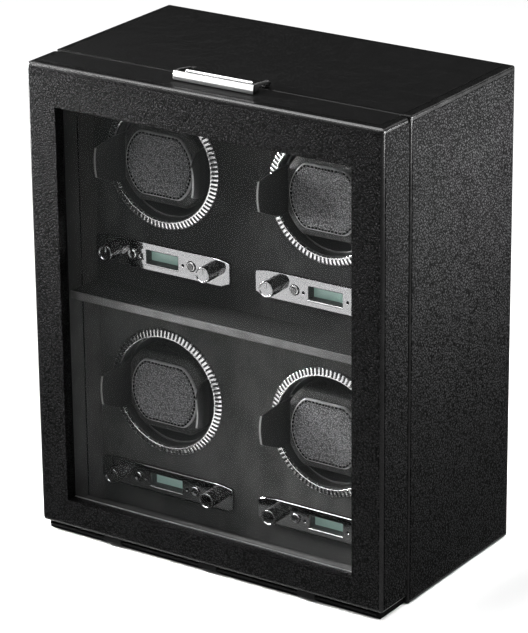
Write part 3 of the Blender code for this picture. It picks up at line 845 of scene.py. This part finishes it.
def build_latch():
    """The chrome latch: a tilted front bar, a roller behind it, and two arched cheeks."""
    low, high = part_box("latch_lever")
    pin = middle("latch_pin")
    front, bottom, top = low.y, low.z, high.z
    half = high.x
    knee = bottom + 0.38 * (top - bottom)
    lean = 0.9 * MM
    section = rounded(
        [
            (front, bottom, 0.3 * MM), (front, knee, 0.4 * MM), (front + lean, top, 0.35 * MM),
            (front + 2.6 * MM, top - 0.1 * MM, 0.5 * MM), (front + 2.4 * MM, bottom, 0.4 * MM),
        ],
        steps=3,
    )
    lever = bar("latch_bar", section, -half, half, 0.25 * MM)
    cheek_outline = rounded(
        [
            (front + 0.6 * MM, bottom + 0.2 * MM, 0.2 * MM),
            (front + 1.5 * MM, top - 0.2 * MM, 0.6 * MM),
            (front + 7 * MM, top - 0.2 * MM, 2 * MM),
            (pin.y + 0.6 * MM, pin.z + 2.2 * MM, 1.6 * MM),
            (pin.y + 2.2 * MM, pin.z - 1.2 * MM, 1 * MM),
            (pin.y - 1.5 * MM, pin.z - 2 * MM, 0.8 * MM),
            (pin.y - 5 * MM, pin.z + 1.4 * MM, 2.5 * MM),
            (front + 9.5 * MM, pin.z + 1.4 * MM, 2 * MM),
            (front + 7 * MM, bottom, 0.6 * MM),
        ],
        steps=4,
    )
    parts = [lever]
    for side in (-1, 1):
        inner, outer = sorted((side * half, side * (half - 2 * MM)))
        cheek = bar("latch_cheek", cheek_outline, inner, outer, 0.25 * MM)
        parts.append(bored(cheek, pin, PIN_BORE, inner, outer))
    handle = joined("latch_handle", parts)
    # painted shade: the ends and cheek sides take the near-black chrome, the lower front the satin
    # chrome and the front's top the dark chrome
    for finish in (RING_CHROME, DEEP_SHADE_CHROME, SATIN_AND_SHADE_CHROME, DARK_SHADE_CHROME):
        handle.materials.append(finish)
    for face in handle.polygons:
        if abs(face.normal.x) > 0.8:
            face.material_index = 1
        elif face.center.y < front + 3 * MM and face.center.z < knee:
            face.material_index = 2
        elif face.center.y < front + 3 * MM and face.normal.z > 0.5:
            face.material_index = 3
    made = piece("latch_handle", handle, "latch", "chrome")
    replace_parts(made, "latch_lever")
    reach, shoulder = 28 * MM, 27.2 * MM
    journal, radius = 1.3 * MM, 1.7 * MM
    roller = turned(
        "latch_roller",
        [
            (0, -reach, 0), (journal, -reach, 0.2 * MM), (journal, -shoulder, 0),
            (radius, -shoulder, 0.3 * MM), (radius, shoulder, 0.3 * MM), (journal, shoulder, 0),
            (journal, reach, 0.2 * MM), (0, reach, 0),
        ],
        32,
    )
    roller.transform(Matrix.Rotation(math.pi / 2, 4, "Z"))
    piece("latch_roller", roller, "latch", "chrome", RING_CHROME,
          at=(0, FRONT + 25.8 * MM, ROOF + 5.1 * MM))


# ---------------------------------------------------------------- drums

def ring_mesh(outer, bore, thick):
    """A chrome ring whose sloping face is cut into radial ribs, with a plain lip at its bore."""
    rows = [
        (bore, 0.0, 0), (bore, 0.78, 0), (bore + 0.15 * MM, 0.95, 0), (bore + 0.45 * MM, 1.0, 0),
        (bore + 0.8 * MM, 0.93, 0.15), (bore + 1.1 * MM, 0.80, 0.85), (bore + 2.2 * MM, 0.70, 1),
        (outer - 1.6 * MM, 0.50, 1), (outer - 0.7 * MM, 0.36, 0.9), (outer - 0.15 * MM, 0.20, 0.5),
        (outer, 0.06, 0), (outer, 0.0, 0),
    ]
    shape = bmesh.new()
    grid = []
    for step, angle in enumerate(round_turn(RING_RIBS * RIB_STEPS)):
        wave = abs(math.cos(math.pi * step / RIB_STEPS)) ** 0.7
        ring = []
        for radius, level, share in rows:
            depth = -level * thick - share * RIB_HEIGHT * (wave - 0.6)
            place = (radius * math.cos(angle), depth, radius * math.sin(angle))
            ring.append(shape.verts.new(place))
        grid.append(ring)
    add_skin(shape, grid + grid[:1])

    # the grooves between the ribs take the near-black chrome as painted shade
    def in_groove(at, radius):
        turn = math.atan2(at.z, at.x) / (2 * math.pi) * RING_RIBS
        return abs(turn - math.floor(turn) - 0.5) < GROOVE_SHARE / 2 and radius > bore + 1 * MM

    return two_tone(meshed("drum_ring", shape, 50), RING_CHROME, DEEP_SHADE_CHROME, in_groove)


def cup_mesh(mouth, back, outer, spindle_end):
    """The drum: a deep black cup with a ledge inside, turned on a spindle."""
    bore, ledge_bore = 42.3 * MM, 41 * MM
    mesh = turned(
        "drum_shell",
        [
            (0, back - 4 * MM, 0), (ledge_bore, back - 4 * MM, 2 * MM),
            (ledge_bore, mouth + 8 * MM, 0.4 * MM), (bore, mouth + 7.6 * MM, 0.3 * MM),
            (bore, mouth, 0.3 * MM), (outer, mouth, 0.3 * MM), (outer, back, 1 * MM),
            (5 * MM, back, 1 * MM), (5 * MM, spindle_end, 0.5 * MM), (0, spindle_end, 0),
        ],
        128,
    )

    # the inner ledge takes the lighter grey as a painted highlight
    def on_ledge(at, radius):
        return abs(at.y - mouth - 8 * MM) < 0.6 * MM and radius < ledge_bore + 0.5 * MM

    return two_tone(mesh, CUP_BLACK, RIM_HIGHLIGHT, on_ledge)


def truncated(radius, half_height, half_width, steps=10):
    """A circle cut off above, below and at its sides, as an outline in (x, z)."""
    high = math.asin(half_height / radius)
    low = math.acos(min(1, half_width / radius))
    spans = ((low, high), (math.pi - high, math.pi - low), (math.pi + low, math.pi + high),
             (-high, -low))
    points = []
    for start, end in spans:
        for step in range(steps + 1):
            angle = start + (end - start) * step / steps
            points.append((radius * math.cos(angle), radius * math.sin(angle)))
    return points


def cushion_mesh():
    """The cuff's padded body, puffed out by its foam between its flat sides."""
    solid = plate("cuff_cushion", [truncated(38.2 * MM, 31.7 * MM, 34.6 * MM)],
                  52.3 * MM, 80 * MM, 3.2 * MM)
    made = linked("cuff_cushion", solid)
    remesh = made.modifiers.new("even", "REMESH")
    remesh.mode = "VOXEL"
    remesh.voxel_size = 1.6 * MM
    smooth = made.modifiers.new("soften", "SMOOTH")
    smooth.factor = 0.5
    smooth.iterations = 3
    settle(made, 180)
    puff(made)
    return released(made)


def puff(made):
    """Blows the foam out a little with a cloth simulation, and no further than the cap."""
    size, cap = 10, 11 * MM
    rest = [vertex.co * size for vertex in made.data.vertices]
    made.data.transform(Matrix.Scale(size, 4))
    cloth = made.modifiers.new("foam", "CLOTH")
    cloth.settings.use_pressure = True
    cloth.settings.uniform_pressure_force = 4
    cloth.settings.effector_weights.gravity = 0
    cloth.point_cache.frame_start = 1
    cloth.point_cache.frame_end = 16
    for number in range(1, 17):
        bpy.context.scene.frame_set(number)
    settle(made, 180)
    bpy.context.scene.frame_set(1)
    for vertex, start in zip(made.data.vertices, rest):
        move = vertex.co - start
        if move.length > cap:
            vertex.co = start + move.normalized() * cap
    made.data.transform(Matrix.Scale(1 / size, 4))


def wing_mesh(side):
    """One flared wing of the cuff: a thin curved plate that leans out and narrows to its tip."""
    shape = bmesh.new()
    rows = []
    for step in range(WING_ROWS):
        depth = WING_START + (WING_END - WING_START) * step / (WING_ROWS - 1)
        outer = interpolate(depth, ((30.5, 44.0), (37, 41.4), (45, 38.8), (56, 36.5), (96, 36.5)))
        half = interpolate(depth, ((30.5, 11.0), (35, 13.2), (45, 17.2), (56, 17.5), (96, 17.5)))
        curve = interpolate(depth, ((30.5, 1.0), (56, 0.35), (96, 0.35)))
        across = [half * part / 6 for part in range(-6, 7)]
        bent = [outer - curve * (WING_CURVE - math.sqrt(WING_CURVE ** 2 - z ** 2)) for z in across]
        skin = [(x, z) for x, z in zip(bent, across)]
        skin += [(x - 1.6, z) for x, z in reversed(skin)]
        rows.append([shape.verts.new((side * x * MM, depth * MM, z * MM)) for x, z in skin])
    add_skin(shape, rows)
    shape.faces.new(rows[0])
    shape.faces.new(rows[-1])
    bmesh.ops.recalc_face_normals(shape, faces=shape.faces)
    sharp = [e for e in shape.edges if e.calc_face_angle(0) > math.radians(60)]
    roll_edges(shape, sharp, 0.3 * MM, 3)
    # the wing's front edge takes the lighter grey as a painted highlight
    tip = (WING_START + 0.35) * MM
    return two_tone(meshed("cuff_wing", shape), WING_BLACK, RIM_HIGHLIGHT,
                    lambda at, radius: at.y < tip)


def interpolate(at, points):
    """A straight-line value between listed (place, value) points."""
    for (start, low), (end, high) in zip(points, points[1:]):
        if at <= end:
            share = (at - start) / (end - start)
            return low + (high - low) * share
    return points[-1][1]


def pad_radius(angle):
    """How far the pad's edge is from its middle: a circle cut off above and below."""
    circle_edge, flat_edge = PAD_RADIUS, PAD_HALF_HEIGHT / max(0.01, abs(math.sin(angle)))
    power = 36
    return (circle_edge ** -power + flat_edge ** -power) ** (-1 / power)


def pad_surface(angle, inset):
    """A point of the pad's face, inset from its edge: crowned, rolled over and sewn down."""
    edge = pad_radius(angle)
    radius = max(0.0, edge - inset)
    crown = 0.7 * MM * (1 - (radius / edge) ** 2)
    roll = 1.7 * MM
    rolled = roll - math.sqrt(max(0.0, roll ** 2 - (roll - min(inset, roll)) ** 2))
    seam = 0.4 * MM * math.exp(-((inset - PAD_SEAM) / (0.5 * MM)) ** 2)
    depth = rolled + seam - crown
    return Vector((radius * math.cos(angle), depth, radius * math.sin(angle)))


def pad_mesh():
    """The stitched leather pad. Its face is at depth zero, before its crown."""
    insets = [0, 0.08, 0.25, 0.5, 0.85, 1.2, 1.5, 1.75, 2.0, 2.25, 2.5, 2.75, 3.1, 3.6, 5, 7, 10, 14,
              19, 24]
    steps = 144
    shape = bmesh.new()
    rows = []
    base = [pad_surface(angle, 0) for angle in round_turn(steps)]
    rows.append([shape.verts.new((p.x * 0.99, 2.2 * MM, p.z * 0.99)) for p in base])
    for inset in insets:
        rows.append([
            shape.verts.new(pad_surface(angle, inset * MM)) for angle in round_turn(steps)
        ])
    add_skin(shape, rows)
    shape.faces.new(rows[-1])
    shape.faces.new(rows[0])
    # the pad's edge band takes the lighter leather as a painted highlight
    return two_tone(meshed("cuff_pad", shape, 50), PAD_LEATHER, PAD_EDGE_HIGHLIGHT,
                    lambda at, radius: pad_radius(math.atan2(at.z, at.x)) - radius < PAD_RIM)


def stitch_mesh():
    """Thread dashes sunk in the pad's seam."""
    shape = bmesh.new()
    for middle_angle in round_turn(STITCHES):
        ends = []
        for share in (-0.3, -0.17, 0, 0.17, 0.3):
            angle = middle_angle + share * 2 * math.pi / STITCHES
            lift = 0.35 * MM * math.cos(share / 0.3 * math.pi / 2) + 0.15 * MM
            ends.append(pad_surface(angle, PAD_SEAM) - Vector((0, lift, 0)))
        add_tube(shape, ends, 0.7 * MM)
    return meshed("pad_stitches", shape, 60)


def add_tube(shape, points, radius, sides=6):
    """A tube with tapered ends through points, added to a bmesh."""
    rings = []
    for number, point in enumerate(points):
        before = points[max(0, number - 1)]
        after = points[min(len(points) - 1, number + 1)]
        along = (after - before).normalized()
        across = along.cross(Vector((0, 1, 0))).normalized()
        up = across.cross(along)
        size = radius * (0.5 if number in (0, len(points) - 1) else 1)
        rings.append([
            shape.verts.new(point + (across * math.cos(a) + up * math.sin(a)) * size)
            for a in round_turn(sides)
        ])
    add_skin(shape, rings)
    shape.faces.new(rings[0])
    shape.faces.new(rings[-1])


def build_drums():
    """A ribbed ring, a cup, a padded cuff with its wings, and a stitched pad at each station."""
    ring_low, ring_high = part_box("drum_ring_upper_left")
    outer = (ring_high.x - ring_low.x) / 2
    ring = ring_mesh(outer, 43 * MM, ring_high.y - ring_low.y)
    cup_low, cup_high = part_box("drum_cup_upper_left")
    mouth = cup_low.y - FRONT
    cup = cup_mesh(mouth, 104 * MM, 46.3 * MM, cup_high.y - FRONT)
    cushion = cushion_mesh()
    wings = {"left": wing_mesh(-1), "right": wing_mesh(1)}
    pad, stitches = pad_mesh(), stitch_mesh()
    pad_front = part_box("cuff_pad_upper_left")[0].y
    for station in STATIONS:
        centre = middle(f"drum_ring_{station}")
        axis = (centre.x, FRONT, centre.z)
        drum, cuff = f"drum_{station}", f"cuff_{station}"
        made = piece(f"ring_{station}", ring, drum, "chrome", CHROME,
                     at=(centre.x, ring_high.y, centre.z))
        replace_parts(made, f"drum_ring_{station}")
        made = piece(f"cup_{station}", cup, drum, "black_plastic", at=axis)
        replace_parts(made, f"drum_cup_{station}")
        made = piece(f"cushion_{station}", cushion, cuff, "cuff_black", CUSHION, at=axis)
        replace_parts(made, f"cuff_core_{station}")
        for name, wing in wings.items():
            piece(f"wing_{name}_{station}", wing, cuff, "cuff_black", at=axis)
        face = (centre.x, pad_front, centre.z)
        made = piece(f"pad_{station}", pad, cuff, "pad_leather", at=face)
        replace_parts(made, f"cuff_pad_{station}")
        piece(f"pad_stitches_{station}", stitches, cuff, "pad_leather", THREAD, at=face)


# ---------------------------------------------------------------- controls

def plate_outline(half_length, half_height):
    """The control plate's outline: tapered ends, with the lower corners cut back."""
    sweep = math.asin((half_length - TAPER_START) / TAPER_RADIUS)
    right = []
    for step in range(7):
        angle = math.pi / 2 - 0.92 * sweep * step / 6
        right.append((TAPER_START + TAPER_RADIUS * math.cos(angle),
                      half_height - TAPER_RADIUS + TAPER_RADIUS * math.sin(angle), 0))
    right += [(half_length, END_HIGH, 0.8 * MM), (half_length, END_LOW, 0.8 * MM),
              (*LOWER_CORNER, 1.5 * MM)]
    left = [(-x, z, fillet) for x, z, fillet in reversed(right)]
    return rounded(right + left)


def control_plate_mesh(half_length, half_height, thick):
    holes = [rectangle(*DISPLAY_HALF, 0.6 * MM)]
    for side in (-1, 1):
        holes.append(circle(3.9 * MM, 36, (side * BUTTON_X, 0)))
        holes.append(circle(2.4 * MM, 24, (side * KNOB_X, 0)))
        holes.append(circle(1.0 * MM, 16, (side * PIN_HOLE[0], PIN_HOLE[1])))
    outlines = [plate_outline(half_length, half_height), *holes]
    return plate("control_plate", outlines, 0, thick, PLATE_EDGE, 25)


def knob_mesh(length, shaft_end):
    """A chrome knob with a dished face, a thin rim and a raised pointer."""
    radius = 6 * MM
    body = turned(
        "knob",
        [
            (0, 0.7 * MM, 0), (4.7 * MM, 0.6 * MM, 0.3 * MM), (5.2 * MM, 0, 0.2 * MM),
            (radius, 0, 0.45 * MM), (radius, length - 1.6 * MM, 0.1 * MM),
            (5.6 * MM, length - 1.4 * MM, 0.1 * MM), (5.6 * MM, length - 1.0 * MM, 0.1 * MM),
            (radius, length - 0.8 * MM, 0.1 * MM), (radius, length, 0.3 * MM),
            (2 * MM, length, 0), (2 * MM, shaft_end, 0.2 * MM), (0, shaft_end, 0),
        ],
        64,
    )
    pointer = block("pointer", (-0.5 * MM, 0.15 * MM, 0.6 * MM), (0.5 * MM, 0.9 * MM, 4.6 * MM),
                    0.2 * MM, 2)
    # the knob's side takes the dark chrome as painted shade
    return two_tone(joined("knob", [body, pointer]), PLATE_CHROME, DARK_SHADE_CHROME,
                    lambda at, radius: at.y > 0.55 * MM and radius > 5.3 * MM)


def button_mesh(length):
    """A push button with a shallow dish in its face, which takes a dark chrome as painted shade."""
    radius, dish = 3.5 * MM, 2.6 * MM
    mesh = turned(
        "push_button",
        [
            (0, 0.45 * MM, 0), (1.8 * MM, 0.35 * MM, 1.2 * MM), (2.9 * MM, 0, 0.4 * MM),
            (radius, 0.15 * MM, 0.3 * MM), (radius, length, 0.2 * MM), (0, length, 0),
        ],
        48,
    )
    return two_tone(mesh, CHROME, DARK_SHADE_CHROME, lambda at, radius: at.y < 0.5 * MM and radius < dish)


def plate_marks_mesh():
    """Generic scale dots round each knob."""
    dots = []
    for side, angles in ((-1, (-120, -60, 0, 60, 120)), (1, (-45, 0, 45))):
        for angle in angles:
            turn = math.radians(90 - angle)
            at = (side * KNOB_X + 7.6 * MM * math.cos(turn), 7.6 * MM * math.sin(turn))
            dots.append(plate("dot", [circle(0.35 * MM, 12, at)], -0.08 * MM, 0.02 * MM, 0.03 * MM))
    return joined("plate_marks", dots)


def build_controls():
    """The polished plate under each drum with its display, buttons and knobs."""
    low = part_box("control_plate_upper_left")[0]
    size = extent("control_plate_upper_left")
    face = control_plate_mesh(size.x / 2, PLATE_HALF_HEIGHT, size.y)
    marks = plate_marks_mesh()
    knob_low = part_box("turns_knob_upper_left")[0]
    knob = knob_mesh(10.5 * MM, extent("turns_knob_upper_left").y)
    button_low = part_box("mode_button_upper_left")[0]
    button = button_mesh(extent("mode_button_upper_left").y)
    display_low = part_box("display_upper_left")[0]
    screen = plate("display_screen", [rectangle(13.9 * MM, 4.75 * MM, 0.3 * MM)],
                   0, extent("display_upper_left").y, 0.2 * MM)
    bezel_front, bezel_back = low.y + 0.8 * MM, display_low.y - 0.1 * MM
    bezel = plate(
        "display_bezel",
        [rectangle(14.2 * MM, 5.05 * MM, 0.6 * MM), rectangle(13.7 * MM, 4.6 * MM, 0.4 * MM)],
        bezel_front, bezel_back, 0.15 * MM,
    )
    lip_section = [(0.45 * MM * math.cos(a) - 0.1 * MM, 0.55 * MM * math.sin(a))
                   for a in round_turn(16)]
    lip = bar("display_lip", lip_section, -14.6 * MM, 14.6 * MM)
    for station in STATIONS:
        centre = middle(f"display_{station}")
        at = (centre.x, low.y, centre.z)
        piece(f"display_lip_{station}", lip, "cabinet", "chrome", CHROME,
              at=(centre.x, low.y, centre.z - DISPLAY_HALF[1] - 0.5 * MM))
        made = piece(f"plate_{station}", face, "cabinet", "chrome", PLATE_CHROME, at=at)
        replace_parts(made, f"control_plate_{station}")
        piece(f"plate_marks_{station}", marks, "cabinet", "black_plastic", MARK, at=at)
        made = piece(f"screen_{station}", screen, "cabinet", "display", DISPLAY,
                     at=(centre.x, display_low.y, centre.z))
        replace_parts(made, f"display_{station}")
        piece(f"bezel_{station}", bezel, "cabinet", "black_plastic", BLACK,
              at=(centre.x, 0, centre.z))
        for kind, side in (("turns_knob", -1), ("direction_knob", 1)):
            node = f"{kind}_{station}"
            made = piece(f"{kind}_cap_{station}", knob, node, "chrome", CHROME,
                         at=(centre.x + side * KNOB_X, knob_low.y, centre.z))
            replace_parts(made, node)
        for kind, side in (("mode_button", -1), ("light_button", 1)):
            node = f"{kind}_{station}"
            made = piece(f"{kind}_cap_{station}", button, node, "chrome", CHROME,
                         at=(centre.x + side * BUTTON_X, button_low.y, centre.z))
            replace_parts(made, node)


# ---------------------------------------------------------------- carried-over nodes

def finish_frame_nodes():
    """Finishes for the solids whose shape is already right."""
    finishes = {"fascia_panel": SUEDE, "chassis_plate": STEEL, "hinge_rod": HINGE_BLACK,
                "latch_base": BLACK, "latch_pin": HINGE_BLACK}
    for station in STATIONS:
        finishes[f"gear_motor_{station}"] = STEEL
        finishes[f"drive_roller_{station}"] = RUBBER
    for node, finish in finishes.items():
        materials = frame["nodes"][node].data.materials
        materials.clear()
        materials.append(finish)


# ---------------------------------------------------------------- studio

def area_light(name, place, target, size, power, spread=180):
    light = linked(name, bpy.data.lights.new(name, "AREA"))
    light.data.shape = "RECTANGLE"
    light.data.size, light.data.size_y = size
    light.data.energy = power
    light.data.spread = math.radians(spread)
    light.visible_camera = False
    light.location = place
    aim = Vector(target) - Vector(place)
    light.rotation_euler = aim.to_track_quat("-Z", "Y").to_euler()
    return light


def build_studio():
    floor_finish = Finish("studio_floor", Base_Color=(0.76, 0.76, 0.76, 1), Roughness=0.9,
                          Specular_IOR_Level=0.0)
    shape = bmesh.new()
    bmesh.ops.create_grid(shape, x_segments=1, y_segments=1, size=6)
    floor = linked("studio_floor", meshed("studio_floor", shape))
    floor.data.materials.append(floor_finish.material)
    floor.location = (0, 0, -0.2 * MM)
    world = bpy.data.worlds.new("studio")
    bpy.context.scene.world = world
    world.use_nodes = True
    backdrop = world.node_tree.nodes["Background"].inputs
    backdrop["Color"].default_value = (1, 1, 1, 1)
    backdrop["Strength"].default_value = 0.08
    area_light("overhead", (0, -0.3, 2.4), (0, 0, 0), (3.2, 3.2), 150)
    area_light("front_left", (-1.3, -2.1, 0.6), (0, 0, 0.35), (1.8, 1.1), 8)
    area_light("upper_left", (-1.05, -0.72, 1.9), (0, 0, 0.36), (0.5, 0.5), 6)
    area_light("upper_back", (0.72, 1.55, 1.4), (0, 0, 0.36), (0.5, 0.5), 6)
    area_light("near_right", (0.36, 0.05, 0.335), (0.15, 0.05, 0.32), (0.24, 0.05), 5.5, 120)
    area_light("near_left", (-0.42, -0.17, 0.34), (-0.1, -0.0875, 0.27), (0.12, 0.28), 6, 100)
    scene = bpy.context.scene
    scene.view_settings.view_transform = "Standard"
    scene.view_settings.look = "None"


build_case()
build_shelf()
build_back()
build_door()
build_latch()
build_drums()
build_controls()
finish_frame_nodes()
build_studio()

even_normals()
